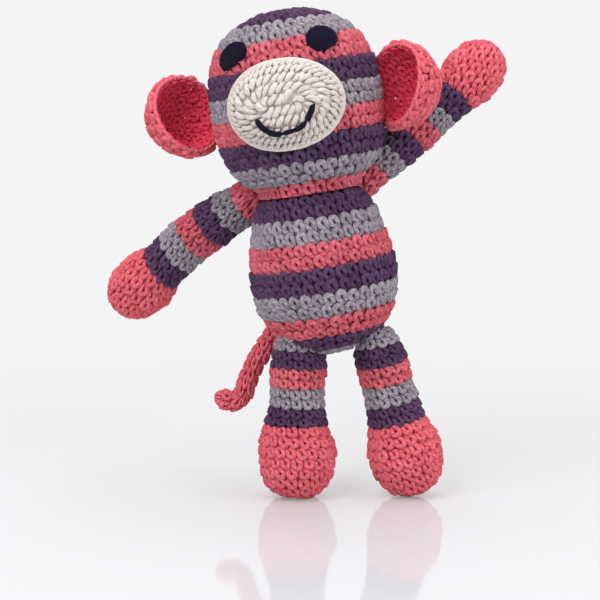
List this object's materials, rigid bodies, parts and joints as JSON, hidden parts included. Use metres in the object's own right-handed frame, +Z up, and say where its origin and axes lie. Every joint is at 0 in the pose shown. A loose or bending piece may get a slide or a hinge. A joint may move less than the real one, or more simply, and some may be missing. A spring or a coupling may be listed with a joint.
{
  "type": "crocheted monkey rattle",
  "caption": "Standing crocheted toy monkey in striped yarn, stuffed, with cupped ears, a domed muzzle, a curled tail and a bead rattle in its belly.",
  "frame": {"origin": "on the floor, under the middle of the toy's bounding box", "axes": "+Z up; the monkey's front faces -Y; its own right side is at -X and its left side at +X"},
  "size_m": [0.153, 0.0852, 0.1796],
  "materials": {
    "coral_yarn": "thick cotton crochet, coral",
    "purple_yarn": "thick cotton crochet, dark purple, with grey and coral rounds",
    "cream_yarn": "thick cotton crochet, cream",
    "black_thread": "black embroidery thread",
    "stuffing_fibre": "white fibre wadding",
    "capsule_plastic": "off-white moulded plastic",
    "bead_steel": "plain steel balls"
  },
  "bodies": {
    "torso": {"torso_skin": "purple_yarn", "torso_stuffing_lower": "stuffing_fibre", "torso_stuffing_upper": "stuffing_fibre", "rattle_capsule_upper": "capsule_plastic", "rattle_capsule_lower": "capsule_plastic", "neck_seam": "purple_yarn", "right_shoulder_seam": "coral_yarn", "left_shoulder_seam": "coral_yarn", "right_hip_seam": "coral_yarn", "left_hip_seam": "coral_yarn", "tail_seam": "coral_yarn"},
    "head": {"head_skin": "purple_yarn", "head_stuffing": "stuffing_fibre", "muzzle_skin": "cream_yarn", "muzzle_stuffing": "stuffing_fibre", "mouth_thread": "black_thread", "right_eye": "black_thread", "left_eye": "black_thread", "right_ear": "coral_yarn", "left_ear": "coral_yarn"},
    "right_arm": {"right_arm_skin": "coral_yarn", "right_arm_stuffing": "stuffing_fibre"},
    "left_arm": {"left_arm_skin": "coral_yarn", "left_arm_stuffing": "stuffing_fibre"},
    "right_leg": {"right_leg_skin": "coral_yarn", "right_leg_stuffing": "stuffing_fibre"},
    "left_leg": {"left_leg_skin": "coral_yarn", "left_leg_stuffing": "stuffing_fibre"},
    "tail": {"tail": "coral_yarn"},
    "rattle_bead_1": {"rattle_bead_1": "bead_steel"},
    "rattle_bead_2": {"rattle_bead_2": "bead_steel"},
    "rattle_bead_3": {"rattle_bead_3": "bead_steel"},
    "rattle_bead_4": {"rattle_bead_4": "bead_steel"},
    "rattle_bead_5": {"rattle_bead_5": "bead_steel"}
  },
  "joints": [
    {"name": "head_turn", "type": "hinge", "parent": "torso", "child": "head", "pos_m": [-0.00385, -0.00043, 0.14715], "axis": [-0.1564, 0, 0.9877], "range_deg": [-30, 10], "stiffness_Nm_per_rad": 0.15},
    {"name": "right_arm_swing", "type": "hinge", "parent": "torso", "child": "right_arm", "pos_m": [-0.02371, 0.01221, 0.10692], "axis": [0.1199, 0.9646, -0.2349], "range_deg": [-20, 70], "stiffness_Nm_per_rad": 0.06},
    {"name": "left_arm_swing", "type": "hinge", "parent": "torso", "child": "left_arm", "pos_m": [0.02572, 0.01365, 0.11632], "axis": [0.1199, -0.9646, 0.2349], "range_deg": [-80, 5], "stiffness_Nm_per_rad": 0.06},
    {"name": "right_leg_swing", "type": "hinge", "parent": "torso", "child": "right_leg", "pos_m": [-0.00214, 0.00081, 0.04529], "axis": [-1, 0, 0], "range_deg": [-35, 65], "stiffness_Nm_per_rad": 0.2},
    {"name": "left_leg_swing", "type": "hinge", "parent": "torso", "child": "left_leg", "pos_m": [0.02885, 0.00078, 0.05145], "axis": [-1, 0, 0], "range_deg": [-35, 65], "stiffness_Nm_per_rad": 0.2},
    {"name": "tail_swing", "type": "hinge", "parent": "torso", "child": "tail", "pos_m": [-0.01238, 0.01304, 0.05773], "axis": [1, 0, 0], "range_deg": [-15, 60], "stiffness_Nm_per_rad": 0.01},
    {"name": "bead_1_roll", "type": "hinge", "parent": "torso", "child": "rattle_bead_1", "pos_m": [0.00621, -0.00043, 0.08364], "axis": [0, 1, 0], "continuous": true},
    {"name": "bead_2_roll", "type": "hinge", "parent": "torso", "child": "rattle_bead_2", "pos_m": [0.00621, -0.00043, 0.08364], "axis": [0, 1, 0], "continuous": true},
    {"name": "bead_3_roll", "type": "hinge", "parent": "torso", "child": "rattle_bead_3", "pos_m": [0.00621, -0.00043, 0.08364], "axis": [0, 1, 0], "continuous": true},
    {"name": "bead_4_roll", "type": "hinge", "parent": "torso", "child": "rattle_bead_4", "pos_m": [0.00621, -0.00043, 0.08364], "axis": [0, 1, 0], "continuous": true},
    {"name": "bead_5_roll", "type": "hinge", "parent": "torso", "child": "rattle_bead_5", "pos_m": [0.00621, -0.00043, 0.08364], "axis": [0, 1, 0], "continuous": true}
  ]
}
